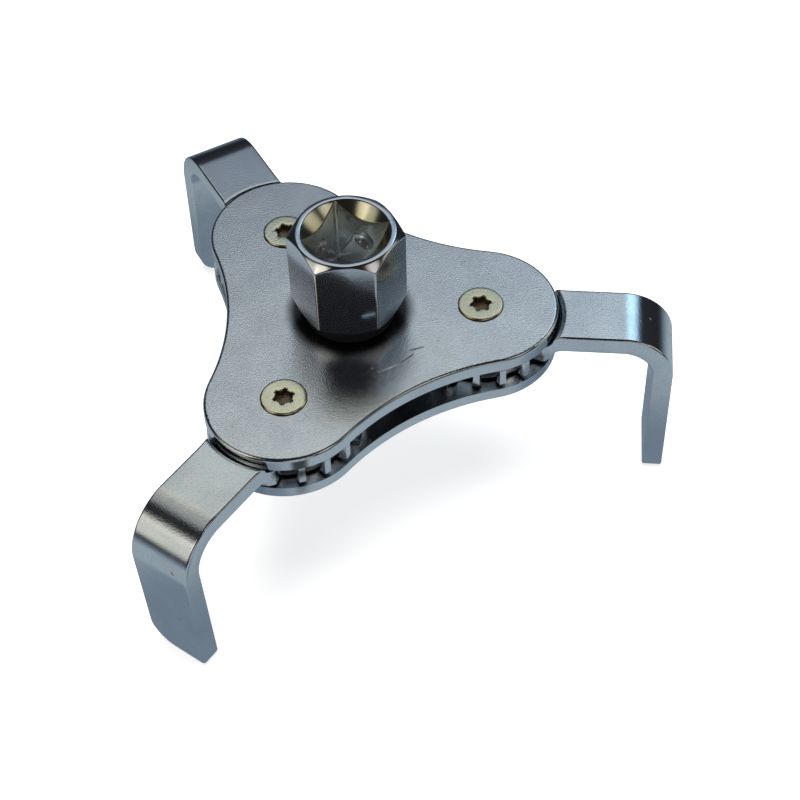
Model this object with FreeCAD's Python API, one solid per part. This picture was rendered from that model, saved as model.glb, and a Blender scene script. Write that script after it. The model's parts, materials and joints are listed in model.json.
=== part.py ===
import FreeCAD, Part
import math
import os

# Three-jaw oil filter wrench. A square drive, or a spanner on the drive's hexagon, turns a centre
# gear between two plates. The gear turns three toothed jaw arms together, so their legs close on
# a filter from either direction.
#
# Frame: the origin is on the drive axis, in the plane of the jaw tips. +Z runs up towards the
# square socket, and +X runs towards the first jaw's pivot. Lengths are in millimetres and angles
# in degrees. An angle about the drive axis is counted from +X, anticlockwise seen from above.

# ---- Layout -------------------------------------------------------------------------------
JAW_COUNT = 3
JAW_REST_SWINGS = (-6.3, -2.95, -7.55)   # arms at rest, turned from outwards; they differ by play
GEAR_REST_SWING = -5.25      # the jaw swing that the centre gear's teeth stand half way to
LEG_LENGTH = 40.5            # jaw tip to the top face of the raised part of an arm
RUNNING_CLEARANCE = 0.05     # radial, shaft in hole
AXIAL_PLAY = 0.05            # between faces that slide on each other
SEATING_CLEARANCE = 0.05     # radial, between pieces that don't turn on each other

# ---- Gears --------------------------------------------------------------------------------
GEAR_MODULE = 1.65
CENTRE_TEETH = 15            # a multiple of three, so that all the jaws mesh alike
JAW_TEETH = 18               # on the full circle; the arm takes the place of four of them
PRESSURE_ANGLE = 14.5
ADDENDUM_FACTOR = 0.62       # stub teeth
TIP_CLEARANCE = 0.35
JAW_PLAY = 2.45              # how far a jaw rocks each way in the centre gear's teeth

# ---- Plates -------------------------------------------------------------------------------
PLATE_THICKNESS = 3.0
LOBE_RADIUS = 16.2           # round each pivot
WAIST_RADIUS = 25.7          # from the drive axis, half way between two lobes
PLATE_EDGE_RADIUS = 0.7

# ---- Jaw arms -----------------------------------------------------------------------------
ARM_THICKNESS = 4.3
ARM_WIDTH = 13.9
ARM_REACH = 40.8             # pivot to the leg's outer face
ARM_BEND_RADIUS = 11.0       # outside of the bend from arm to leg
STEP_RISE = 2.0              # the arm steps up round the plates' edge
STEP_RUN = 2.2
STEP_INSET = 0.3             # the step starts this far inside the lobe's edge
STRIP_OVERLAP = 4.0          # the turned head runs this far past the step, under the strip
NECK_HALF_ANGLE = 31.0       # where the arm leaves the toothed head
NECK_ROOT_SPREAD = 2.5
NECK_FLARE_RADIUS = 7.0
TIP_CORNER_RADII = ((1.2, 1.2), (1.2, 5.5), (6.0, 1.2))   # clockwise and anticlockwise corners
LEG_LEANS = (0.0, 0.0, 3.0)  # degrees that a leg is bent past square, towards the axis

# ---- Pivots -------------------------------------------------------------------------------
POST_RADIUS = 4.5
POST_TENON_RADIUS = 3.2
POST_HEAD_RADIUS = 4.4
POST_HEAD_HEIGHT = 0.9
POST_HEAD_EDGE = 0.4
UPPER_WASHER_THICKNESS = 0.5
LOWER_WASHER_THICKNESS = 0.8
WASHER_RADIUS = 9.0
SCREW_RADIUS = 2.5
SCREW_DEPTH = 4.8            # thread held in the post
SCREW_HEAD_RADIUS = 4.7
SCREW_HEAD_HEIGHT = 1.9
SCREW_HEAD_PROUD = 0.5
SCREW_HEAD_EDGE = 0.35
SCREW_COUNTERBORE_GAP = 0.15
STAR_CORE_RADIUS = 1.72
STAR_LOBE_RADIUS = 0.5
STAR_DEPTH = 1.6
STAR_LOBES = 6

# ---- Drive --------------------------------------------------------------------------------
DRIVE_SQUARE = 12.9          # hole for a half-inch square, across flats
DRIVE_SQUARE_DEPTH = 16.0
COUNTERSINK_RADIUS = 9.1      # at the rim, 45 degrees
COUNTERSINK_START = 5.0       # radius of the cutter's flat end, inside the square
CHAMFER_CROWN = 0.04          # the turned chamfers bow out by this
HEX_ACROSS_FLATS = 21.0
HEX_TURN = -1.5              # from a flat that faces -Y
HEX_TOP = 22.9               # rim above the top plate
HEX_UNDERSIDE = 2.3          # collar shown between the plate and the hexagon
HEX_CHAMFER_ANGLE = 43.0
HEX_RIM_INSET = 0.3          # rim radius is this much under half the across-flats size
COLLAR_RADIUS = 9.3
DETENT_RADIUS = 2.4
DETENT_DEPTH = 0.9
DETENT_FROM_MOUTH = 8.3
SHANK_SQUARE = 11.0
JOURNAL_RADIUS = 5.4
JOURNAL_END = 2.2            # below the bottom plate
JOURNAL_CHAMFER = 0.5
DRIVE_WASHER_RADIUS = 10.0
CLIP_THICKNESS = 0.9
CLIP_RADIUS = 7.2
CLIP_GROOVE_RADIUS = 4.7
CLIP_OPENING = 70.0

# ---- Direction mark stamped in the top plate -----------------------------------------------
MARK_RADIUS = 18.6
MARK_WIDTH = 0.9
MARK_DEPTH = 0.25
MARK_HALF_SPAN = 24.0
MARK_HEAD_SPAN = 9.0
MARK_HEAD_WIDTH = 3.4
MARK_CENTRE = -60.0          # half way between the first and the third lobe

# ---- Worked out from the sizes above --------------------------------------------------------
CENTRE_PITCH_RADIUS = GEAR_MODULE * CENTRE_TEETH / 2
JAW_PITCH_RADIUS = GEAR_MODULE * JAW_TEETH / 2
PIVOT_RADIUS = CENTRE_PITCH_RADIUS + JAW_PITCH_RADIUS
BACKLASH = JAW_PITCH_RADIUS * math.radians(JAW_PLAY)   # taken off each gear's tooth
JAW_PITCH_ANGLE = 360.0 / JAW_TEETH
PIVOT_ANGLES = [i * 360.0 / JAW_COUNT for i in range(JAW_COUNT)]

ARM_TOP = LEG_LENGTH - STEP_RISE
ARM_BOTTOM = ARM_TOP - ARM_THICKNESS
TOP_PLATE_BOTTOM = ARM_TOP + AXIAL_PLAY + UPPER_WASHER_THICKNESS
TOP_PLATE_TOP = TOP_PLATE_BOTTOM + PLATE_THICKNESS
BOTTOM_PLATE_TOP = ARM_BOTTOM - AXIAL_PLAY - LOWER_WASHER_THICKNESS
BOTTOM_PLATE_BOTTOM = BOTTOM_PLATE_TOP - PLATE_THICKNESS
OVERCUT = 1.0                # how far a cutting tool runs past the face it leaves

UP = FreeCAD.Vector(0, 0, 1)


def polar(radius, angle, z=0.0):
    """Point at a radius and an angle in degrees about the Z axis."""
    turn = math.radians(angle)
    return FreeCAD.Vector(radius * math.cos(turn), radius * math.sin(turn), z)


def cylinder(radius, bottom, top, centre=FreeCAD.Vector()):
    """Upright cylinder between two heights."""
    base = FreeCAD.Vector(centre.x, centre.y, bottom)
    return Part.makeCylinder(radius, top - bottom, base)


def ring(inner, outer, bottom, top, centre=FreeCAD.Vector()):
    """Upright ring between two heights."""
    return cylinder(outer, bottom, top, centre).cut(
        cylinder(inner, bottom - OVERCUT, top + OVERCUT, centre))


def box_about(half_x, half_y, bottom, top):
    """Upright box centred on the Z axis."""
    corner = FreeCAD.Vector(-half_x, -half_y, bottom)
    return Part.makeBox(2 * half_x, 2 * half_y, top - bottom, corner)


def arc(start, middle, end):
    """Edge along the circle through three points."""
    return Part.Arc(start, middle, end).toShape()


def circle_arc(radius, start_angle, end_angle):
    """Edge along a circle about the Z axis."""
    return arc(polar(radius, start_angle), polar(radius, (start_angle + end_angle) / 2),
               polar(radius, end_angle))


def prism(edges, bottom, top):
    """Solid raised from a closed outline drawn in the XY plane."""
    wire = Part.Wire(Part.__sortEdges__(edges))
    face = Part.Face(wire)
    face.translate(FreeCAD.Vector(0, 0, bottom))
    return face.extrude(FreeCAD.Vector(0, 0, top - bottom))


def turned(profile, crown=0.0):
    """Solid of revolution about Z from a closed, anticlockwise list of (radius, z) points.

    A side that slopes bows out by crown at its middle.
    """
    points = [FreeCAD.Vector(radius, 0, z) for radius, z in profile]
    edges = []
    for start, end in zip(points, points[1:] + points[:1]):
        side = end - start
        if crown and side.x and side.z:
            outwards = FreeCAD.Vector(side.z, 0, -side.x).normalize()
            edges.append(arc(start, (start + end) * 0.5 + outwards * crown, end))
        else:
            edges.append(Part.makeLine(start, end))
    return Part.Face(Part.Wire(edges)).revolve(FreeCAD.Vector(), UP, 360)


def on_pivot(shape, index, swing=0.0):
    """Move a shape from the origin to a pivot, with its +X turned outwards plus a swing."""
    placed = shape.copy()
    placed.rotate(FreeCAD.Vector(), UP, PIVOT_ANGLES[index] + swing)
    placed.translate(polar(PIVOT_RADIUS, PIVOT_ANGLES[index]))
    return placed


# ---- Gears --------------------------------------------------------------------------------
class Gear:
    """Stub-tooth involute gear, held by its circles and the half angle of a tooth."""

    def __init__(self, teeth, mate_teeth):
        addendum = ADDENDUM_FACTOR * GEAR_MODULE
        mate_tip = GEAR_MODULE * mate_teeth / 2 + addendum
        self.teeth = teeth
        self.pitch = GEAR_MODULE * teeth / 2
        self.tip = self.pitch + addendum
        self.root = PIVOT_RADIUS - mate_tip - TIP_CLEARANCE
        self.base = self.pitch * math.cos(math.radians(PRESSURE_ANGLE))
        self.half_tooth = (math.pi * GEAR_MODULE / 2 - BACKLASH) / 2 / self.pitch

    def involute(self, radius):
        """Angle, in radians, that the involute has turned through at a radius."""
        roll = math.sqrt((radius / self.base) ** 2 - 1)
        return roll - math.atan(roll)

    def half_angle(self, radius):
        """Half the angle, in degrees, that a tooth takes up at a radius."""
        return math.degrees(self.half_tooth + self.involute(self.pitch) - self.involute(radius))

    def tooth(self, centre):
        """Edges of one tooth, from the root circle on one side to the root circle on the other."""
        foot = self.half_angle(self.base)
        middle_radius = (self.base + self.tip) / 2
        middle = self.half_angle(middle_radius)
        crest = self.half_angle(self.tip)
        edges = []
        for side in (-1, 1):
            base_point = polar(self.base, centre + side * foot)
            edges.append(Part.makeLine(polar(self.root, centre + side * foot), base_point))
            edges.append(arc(base_point, polar(middle_radius, centre + side * middle),
                             polar(self.tip, centre + side * crest)))
        edges.append(circle_arc(self.tip, centre - crest, centre + crest))
        return edges

    def toothed_edges(self, centres):
        """Edges of several teeth in a row, with the root circle between them."""
        foot = self.half_angle(self.base)
        edges = []
        for centre in centres:
            edges += self.tooth(centre)
        for centre, following in zip(centres, centres[1:]):
            edges.append(circle_arc(self.root, centre + foot, following - foot))
        return edges


JAW_GEAR = Gear(JAW_TEETH, CENTRE_TEETH)
CENTRE_GEAR = Gear(CENTRE_TEETH, JAW_TEETH)


# ---- Plates -------------------------------------------------------------------------------
def plate_blank(bottom, top, rounded_top):
    """Three-lobed plate. Hollow arcs run tangent from lobe to lobe, and one face is rounded."""
    waist_arc = ((LOBE_RADIUS ** 2 - WAIST_RADIUS ** 2 + WAIST_RADIUS * PIVOT_RADIUS
                  - PIVOT_RADIUS ** 2) / (2 * WAIST_RADIUS - PIVOT_RADIUS - 2 * LOBE_RADIUS))
    half_step = 180.0 / JAW_COUNT
    edges = []
    for angle in PIVOT_ANGLES:
        lobe = polar(PIVOT_RADIUS, angle)
        ends = []
        for side in (-1, 1):
            hollow = polar(WAIST_RADIUS + waist_arc, angle + side * half_step)
            towards = (hollow - lobe).normalize()
            ends.append(lobe + towards * LOBE_RADIUS)
        edges.append(arc(ends[0], polar(PIVOT_RADIUS + LOBE_RADIUS, angle), ends[1]))
        turn = 360.0 / JAW_COUNT
        next_start = FreeCAD.Rotation(UP, turn).multVec(ends[0])
        edges.append(arc(ends[1], polar(WAIST_RADIUS, angle + half_step), next_start))
    blank = prism(edges, bottom, top)
    edge_height = top if rounded_top else bottom
    rim = [e for e in blank.Edges if e.BoundBox.ZLength < 1e-6
           and abs(e.BoundBox.ZMin - edge_height) < 1e-6]
    return blank.makeFillet(PLATE_EDGE_RADIUS, rim)


def direction_mark():
    """Cutter for a curved arrow with a head at each end, which means that either way works."""
    inner = MARK_RADIUS - MARK_WIDTH / 2
    outer = MARK_RADIUS + MARK_WIDTH / 2
    neck = MARK_HALF_SPAN - MARK_HEAD_SPAN
    low = TOP_PLATE_TOP - MARK_DEPTH
    high = TOP_PLATE_TOP + OVERCUT
    edges = [circle_arc(inner, -neck, neck), circle_arc(outer, -neck, neck)]
    for side in (-1, 1):
        tip = polar(MARK_RADIUS, side * MARK_HALF_SPAN)
        for radius, spread in ((inner, -1), (outer, 1)):
            barb = polar(MARK_RADIUS + spread * MARK_HEAD_WIDTH / 2, side * neck)
            edges.append(Part.makeLine(polar(radius, side * neck), barb))
            edges.append(Part.makeLine(barb, tip))
    mark = prism(edges, low, high)
    mark.rotate(FreeCAD.Vector(), UP, MARK_CENTRE)
    return mark


def make_top_plate():
    """Plate that the hexagon stands on, with a counterbore for each pivot screw."""
    plate = plate_blank(TOP_PLATE_BOTTOM, TOP_PLATE_TOP, rounded_top=True)
    plate = plate.cut(cylinder(COLLAR_RADIUS + RUNNING_CLEARANCE, TOP_PLATE_BOTTOM - OVERCUT,
                               TOP_PLATE_TOP + OVERCUT))
    seat = TOP_PLATE_TOP + SCREW_HEAD_PROUD - SCREW_HEAD_HEIGHT
    for angle in PIVOT_ANGLES:
        pivot = polar(PIVOT_RADIUS, angle)
        hole = cylinder(SCREW_RADIUS + SEATING_CLEARANCE, TOP_PLATE_BOTTOM - OVERCUT,
                        TOP_PLATE_TOP + OVERCUT, pivot)
        counterbore = cylinder(SCREW_HEAD_RADIUS + SCREW_COUNTERBORE_GAP, seat,
                               TOP_PLATE_TOP + OVERCUT, pivot)
        plate = plate.cut(hole).cut(counterbore)
    return plate.cut(direction_mark())


def make_bottom_plate():
    """Plate under the gears, which carries the drive's journal and the staked pivot posts."""
    plate = plate_blank(BOTTOM_PLATE_BOTTOM, BOTTOM_PLATE_TOP, rounded_top=False)
    low = BOTTOM_PLATE_BOTTOM - OVERCUT
    high = BOTTOM_PLATE_TOP + OVERCUT
    plate = plate.cut(cylinder(JOURNAL_RADIUS + RUNNING_CLEARANCE, low, high))
    for angle in PIVOT_ANGLES:
        plate = plate.cut(cylinder(POST_TENON_RADIUS + SEATING_CLEARANCE, low, high,
                                   polar(PIVOT_RADIUS, angle)))
    return plate


# ---- Drive --------------------------------------------------------------------------------
def hexagon(bottom, top):
    """Hexagonal bar with a flat towards -Y, before HEX_TURN."""
    corner_radius = HEX_ACROSS_FLATS / math.sqrt(3)
    corners = [polar(corner_radius, -60.0 + 60.0 * i) for i in range(6)]
    return prism([Part.makeLine(a, b) for a, b in zip(corners, corners[1:] + corners[:1])],
                 bottom, top)


def hex_head():
    """Hexagon with a turned chamfer above and a cone down to the collar below."""
    underside = TOP_PLATE_TOP + HEX_UNDERSIDE
    rim = TOP_PLATE_TOP + HEX_TOP
    rim_radius = HEX_ACROSS_FLATS / 2 - HEX_RIM_INSET
    blank_radius = HEX_ACROSS_FLATS / math.sqrt(3) + OVERCUT
    chamfer_drop = (blank_radius - rim_radius) * math.tan(math.radians(HEX_CHAMFER_ANGLE))
    cone_rise = blank_radius - COLLAR_RADIUS
    blank = turned([(0, underside), (COLLAR_RADIUS, underside),
                    (blank_radius, underside + cone_rise), (blank_radius, rim - chamfer_drop),
                    (rim_radius, rim), (0, rim)], CHAMFER_CROWN)
    return blank.common(hexagon(underside - OVERCUT, rim + OVERCUT))


def square_socket():
    """Cutter for the square hole, its countersunk mouth and the ball detents in its walls."""
    rim = TOP_PLATE_TOP + HEX_TOP
    floor = rim - DRIVE_SQUARE_DEPTH
    half = DRIVE_SQUARE / 2
    cutter = box_about(half, half, floor, rim + OVERCUT)
    start_depth = COUNTERSINK_RADIUS - COUNTERSINK_START
    mouth = turned([(0, rim - start_depth), (COUNTERSINK_START, rim - start_depth),
                    (COUNTERSINK_RADIUS, rim), (COUNTERSINK_RADIUS, rim + OVERCUT),
                    (0, rim + OVERCUT)], CHAMFER_CROWN)
    cutter = cutter.fuse(mouth)
    detent_height = rim - DETENT_FROM_MOUTH
    reach = half + DETENT_DEPTH
    for direction in (FreeCAD.Vector(1, 0, 0), FreeCAD.Vector(0, 1, 0)):
        start = direction * -reach + FreeCAD.Vector(0, 0, detent_height)
        cutter = cutter.fuse(Part.makeCylinder(DETENT_RADIUS, 2 * reach, start, direction))
    cutter.rotate(FreeCAD.Vector(), UP, -30.0)
    return cutter


def make_drive_socket():
    """Hexagon, collar, square shank and journal in one piece, with the square socket cut in."""
    collar = cylinder(COLLAR_RADIUS, ARM_TOP, TOP_PLATE_TOP + HEX_UNDERSIDE)
    shank = box_about(SHANK_SQUARE / 2, SHANK_SQUARE / 2, ARM_BOTTOM, ARM_TOP)
    end = BOTTOM_PLATE_BOTTOM - JOURNAL_END
    small_end = JOURNAL_RADIUS - JOURNAL_CHAMFER
    journal = turned([(0, end), (small_end, end), (JOURNAL_RADIUS, end + JOURNAL_CHAMFER),
                      (JOURNAL_RADIUS, ARM_BOTTOM), (0, ARM_BOTTOM)])
    clip_top = BOTTOM_PLATE_BOTTOM - AXIAL_PLAY
    groove = ring(CLIP_GROOVE_RADIUS, JOURNAL_RADIUS + OVERCUT, clip_top - CLIP_THICKNESS,
                  clip_top)
    drive = hex_head().fuse(collar).fuse(shank).fuse(journal).removeSplitter()
    drive = drive.cut(groove).cut(square_socket())
    drive.rotate(FreeCAD.Vector(), UP, HEX_TURN)
    return drive


def make_center_gear():
    """Gear that fits over the drive's square shank and meshes with all three jaws."""
    step = 360.0 / CENTRE_TEETH
    phase = -GEAR_REST_SWING * JAW_TEETH / CENTRE_TEETH
    centres = [phase + i * step for i in range(CENTRE_TEETH)]
    edges = CENTRE_GEAR.toothed_edges(centres)
    foot = CENTRE_GEAR.half_angle(CENTRE_GEAR.base)
    edges.append(circle_arc(CENTRE_GEAR.root, centres[-1] + foot, centres[0] + 360.0 - foot))
    gear = prism(edges, ARM_BOTTOM, ARM_TOP)
    half_bore = SHANK_SQUARE / 2 + SEATING_CLEARANCE
    bore = box_about(half_bore, half_bore, ARM_BOTTOM - OVERCUT, ARM_TOP + OVERCUT)
    bore.rotate(FreeCAD.Vector(), UP, HEX_TURN)
    return gear.cut(bore)


def make_drive_washer():
    """Washer between the centre gear and the bottom plate."""
    return ring(JOURNAL_RADIUS + SEATING_CLEARANCE, DRIVE_WASHER_RADIUS,
                ARM_BOTTOM - LOWER_WASHER_THICKNESS, ARM_BOTTOM)


def make_drive_circlip():
    """Open snap ring in the journal's groove, which holds the drive up under the bottom plate."""
    top = BOTTOM_PLATE_BOTTOM - AXIAL_PLAY
    low = top - CLIP_THICKNESS
    clip = ring(CLIP_GROOVE_RADIUS + SEATING_CLEARANCE, CLIP_RADIUS, low, top)
    far = 2 * CLIP_RADIUS
    wedge = [polar(0, 0), polar(far, -CLIP_OPENING / 2), polar(far, CLIP_OPENING / 2)]
    opening = prism([Part.makeLine(a, b) for a, b in zip(wedge, wedge[1:] + wedge[:1])],
                    low - OVERCUT, top + OVERCUT)
    return clip.cut(opening)


# ---- Jaw arms -----------------------------------------------------------------------------
def arm_plan():
    """Outline of an arm seen from above: toothed head, flared neck and straight strip."""
    half_width = ARM_WIDTH / 2
    end_x = ARM_REACH + OVERCUT
    corner = polar(JAW_GEAR.tip, NECK_HALF_ANGLE)
    flare_drop = corner.y - half_width
    flare_run = math.sqrt(2 * flare_drop * NECK_FLARE_RADIUS - flare_drop ** 2)
    strip_start = corner.x + flare_run
    middle_turn = math.asin(flare_run / NECK_FLARE_RADIUS) / 2
    middle_x = strip_start - NECK_FLARE_RADIUS * math.sin(middle_turn)
    middle_y = half_width + NECK_FLARE_RADIUS * (1 - math.cos(middle_turn))

    root_angle = NECK_HALF_ANGLE + NECK_ROOT_SPREAD
    # The teeth stand half a pitch to each side of the arm's centre line, and those that the neck
    # would cover are left out.
    covered = math.floor(root_angle / JAW_PITCH_ANGLE)
    first = (covered + 1.5) * JAW_PITCH_ANGLE
    count = int(round((360.0 - 2 * first) / JAW_PITCH_ANGLE)) + 1
    centres = [first + i * JAW_PITCH_ANGLE for i in range(count)]
    foot = JAW_GEAR.half_angle(JAW_GEAR.base)

    edges = JAW_GEAR.toothed_edges(centres)
    edges.append(circle_arc(JAW_GEAR.root, root_angle, first - foot))
    edges.append(circle_arc(JAW_GEAR.root, centres[-1] + foot, 360.0 - root_angle))
    for side in (-1, 1):
        neck = FreeCAD.Vector(corner.x, side * corner.y, 0)
        strip = FreeCAD.Vector(strip_start, side * half_width, 0)
        edges.append(Part.makeLine(polar(JAW_GEAR.root, side * root_angle), neck))
        edges.append(arc(neck, FreeCAD.Vector(middle_x, side * middle_y, 0), strip))
        edges.append(Part.makeLine(strip, FreeCAD.Vector(end_x, side * half_width, 0)))
    edges.append(Part.makeLine(FreeCAD.Vector(end_x, -half_width, 0),
                               FreeCAD.Vector(end_x, half_width, 0)))
    return edges


def side_point(x, z):
    """Point in the arm's side view."""
    return FreeCAD.Vector(x, 0, z)


def side_arc(centre_x, centre_z, radius, start_angle, end_angle):
    """Arc in the arm's side view, with angles counted from +X towards +Z."""
    points = []
    for angle in (start_angle, (start_angle + end_angle) / 2, end_angle):
        turn = math.radians(angle)
        points.append(side_point(centre_x + radius * math.cos(turn),
                                 centre_z + radius * math.sin(turn)))
    return arc(*points), points[0], points[2]


def stepped_line(head_z, raised_z, end_x):
    """Edges along one face of the head, from its axis up the step and out to end_x.

    The step is two equal arcs that turn opposite ways, and its radius follows from rise and run.
    """
    rise = raised_z - head_z
    radius = (STEP_RUN ** 2 + rise ** 2) / (4 * rise)
    turn = math.degrees(2 * math.atan(rise / STEP_RUN))
    start_x = LOBE_RADIUS - STEP_INSET
    first, first_start, _ = side_arc(start_x, head_z + radius, radius, -90, -90 + turn)
    second, _, second_end = side_arc(start_x + STEP_RUN, raised_z - radius, radius, 90 + turn, 90)
    return [Part.makeLine(side_point(0, head_z), first_start), first, second,
            Part.makeLine(second_end, side_point(end_x, raised_z))]


def arm_head(end_x):
    """Head and step turned about the pivot, as a disc out to end_x."""
    raised_bottom = LEG_LENGTH - ARM_THICKNESS
    outline = stepped_line(ARM_TOP, LEG_LENGTH, end_x)
    outline += stepped_line(ARM_BOTTOM, raised_bottom, end_x)
    outline += [Part.makeLine(side_point(0, ARM_BOTTOM), side_point(0, ARM_TOP)),
                Part.makeLine(side_point(end_x, raised_bottom), side_point(end_x, LEG_LENGTH))]
    face = Part.Face(Part.Wire(Part.__sortEdges__(outline)))
    return face.revolve(FreeCAD.Vector(), UP, 360)


def bent_strip(start_x, lean):
    """Raised strip from start_x, bend and leg, far wider than the arm."""
    bend_x = ARM_REACH - ARM_BEND_RADIUS
    bend_z = LEG_LENGTH - ARM_BEND_RADIUS
    raised_bottom = LEG_LENGTH - ARM_THICKNESS
    outer_bend, outer_start, outer_end = side_arc(bend_x, bend_z, ARM_BEND_RADIUS, 90, -lean)
    inner_bend, inner_start, inner_end = side_arc(bend_x, bend_z,
                                                  ARM_BEND_RADIUS - ARM_THICKNESS, 90, -lean)
    slope = math.tan(math.radians(lean))
    outer_tip = side_point(outer_end.x - outer_end.z * slope, 0)
    inner_tip = side_point(inner_end.x - inner_end.z * slope, 0)
    outline = [Part.makeLine(side_point(start_x, LEG_LENGTH), outer_start), outer_bend,
               Part.makeLine(outer_end, outer_tip), Part.makeLine(outer_tip, inner_tip),
               Part.makeLine(inner_tip, inner_end), inner_bend,
               Part.makeLine(inner_start, side_point(start_x, raised_bottom)),
               Part.makeLine(side_point(start_x, raised_bottom),
                             side_point(start_x, LEG_LENGTH))]
    face = Part.Face(Part.Wire(Part.__sortEdges__(outline)))
    face.translate(FreeCAD.Vector(0, -ARM_REACH, 0))
    return face.extrude(FreeCAD.Vector(0, 2 * ARM_REACH, 0))


def tip_corner(side, radius, lean):
    """Cutter that rounds one corner of a leg's end."""
    sway = LEG_LENGTH * math.sin(math.radians(lean))
    length = ARM_THICKNESS + sway + 2 * OVERCUT
    start_x = ARM_REACH - ARM_THICKNESS - sway - OVERCUT
    centre_y = side * (ARM_WIDTH / 2 - radius)
    edge_y = side * (ARM_WIDTH / 2 + OVERCUT)
    block = Part.makeBox(length, abs(edge_y - centre_y), radius + OVERCUT,
                         FreeCAD.Vector(start_x, min(centre_y, edge_y), -OVERCUT))
    round_bar = Part.makeCylinder(radius, length, FreeCAD.Vector(start_x, centre_y, radius),
                                  FreeCAD.Vector(1, 0, 0))
    return block.cut(round_bar)


def make_jaw_arm(index):
    """Toothed head, neck stepped up round the plates' edge and bent leg in one piece."""
    step_end = LOBE_RADIUS - STEP_INSET + STEP_RUN
    strip_start = step_end + STRIP_OVERLAP / 2
    lean = LEG_LEANS[index]
    body = arm_head(step_end + STRIP_OVERLAP).fuse(bent_strip(strip_start, lean))
    arm = body.common(prism(arm_plan(), -OVERCUT, LEG_LENGTH + OVERCUT)).removeSplitter()
    arm = arm.cut(cylinder(POST_RADIUS + RUNNING_CLEARANCE, ARM_BOTTOM - OVERCUT,
                           ARM_TOP + OVERCUT))
    for side, radius in zip((-1, 1), TIP_CORNER_RADII[index]):
        arm = arm.cut(tip_corner(side, radius, lean))
    return on_pivot(arm, index, JAW_REST_SWINGS[index])


# ---- Pivots -------------------------------------------------------------------------------
def make_pivot_post():
    """Shouldered post between the plates, staked under the bottom one and tapped from above."""
    head_bottom = BOTTOM_PLATE_BOTTOM - POST_HEAD_HEIGHT
    head = cylinder(POST_HEAD_RADIUS, head_bottom, BOTTOM_PLATE_BOTTOM)
    edge = [e for e in head.Edges if abs(e.BoundBox.ZMax - head_bottom) < 1e-6]
    head = head.makeFillet(POST_HEAD_EDGE, edge)
    tenon = cylinder(POST_TENON_RADIUS, BOTTOM_PLATE_BOTTOM, BOTTOM_PLATE_TOP)
    body = cylinder(POST_RADIUS, BOTTOM_PLATE_TOP, TOP_PLATE_BOTTOM)
    tapped = cylinder(SCREW_RADIUS + SEATING_CLEARANCE,
                      TOP_PLATE_BOTTOM - SCREW_DEPTH - OVERCUT, TOP_PLATE_BOTTOM + OVERCUT)
    return head.fuse(tenon).fuse(body).cut(tapped)


def make_pivot_screw():
    """Low-headed screw with a six-lobed recess, which clamps the top plate to a post."""
    head_top = TOP_PLATE_TOP + SCREW_HEAD_PROUD
    seat = head_top - SCREW_HEAD_HEIGHT
    head = cylinder(SCREW_HEAD_RADIUS, seat, head_top)
    edge = [e for e in head.Edges if abs(e.BoundBox.ZMin - head_top) < 1e-6]
    head = head.makeFillet(SCREW_HEAD_EDGE, edge)
    thread = cylinder(SCREW_RADIUS, TOP_PLATE_BOTTOM - SCREW_DEPTH, seat)
    low = head_top - STAR_DEPTH
    high = head_top + OVERCUT
    star = cylinder(STAR_CORE_RADIUS, low, high)
    for i in range(STAR_LOBES):
        lobe_centre = polar(STAR_CORE_RADIUS, i * 360.0 / STAR_LOBES)
        star = star.fuse(cylinder(STAR_LOBE_RADIUS, low, high, lobe_centre))
    return head.fuse(thread).cut(star)


def make_upper_washer():
    """Washer between the top plate and a jaw's head."""
    return ring(POST_RADIUS + SEATING_CLEARANCE, WASHER_RADIUS,
                TOP_PLATE_BOTTOM - UPPER_WASHER_THICKNESS, TOP_PLATE_BOTTOM)


def make_lower_washer():
    """Washer between a jaw's head and the bottom plate."""
    return ring(POST_RADIUS + SEATING_CLEARANCE, WASHER_RADIUS, BOTTOM_PLATE_TOP,
                BOTTOM_PLATE_TOP + LOWER_WASHER_THICKNESS)


def build():
    """Every piece by name."""
    pieces = {
        "top_plate": make_top_plate(),
        "bottom_plate": make_bottom_plate(),
        "drive_socket": make_drive_socket(),
        "center_gear": make_center_gear(),
        "drive_washer": make_drive_washer(),
        "drive_circlip": make_drive_circlip(),
    }
    for index in range(JAW_COUNT):
        number = index + 1
        pieces[f"jaw_arm_{number}"] = make_jaw_arm(index)
        pieces[f"pivot_post_{number}"] = on_pivot(make_pivot_post(), index)
        pieces[f"pivot_screw_{number}"] = on_pivot(make_pivot_screw(), index)
        pieces[f"upper_washer_{number}"] = on_pivot(make_upper_washer(), index)
        pieces[f"lower_washer_{number}"] = on_pivot(make_lower_washer(), index)
    return pieces


def main():
    """Write one STEP file for each piece."""
    os.makedirs("parts", exist_ok=True)
    for name, shape in build().items():
        shape.exportStep(f"parts/{name}.step")
        print(f"{name}: solids {len(shape.Solids)}, volume {shape.Volume:.2f} mm3,"
              f" valid {shape.isValid()}")


main()
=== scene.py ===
"""Three-jaw oil filter wrench: the visual model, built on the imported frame.

Lengths in the classes are millimetres in the frame's own axes, and become metres when a mesh is
made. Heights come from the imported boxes, so a piece always sits where its CAD node sits.
Finishes, shader groups and the studio's floor work in metres, as Object coordinates do.
"""
import json
import logging
import math
from dataclasses import dataclass, field
from enum import Enum

import bmesh
import bpy
import numpy as np
from mathutils import Matrix, Vector


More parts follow.
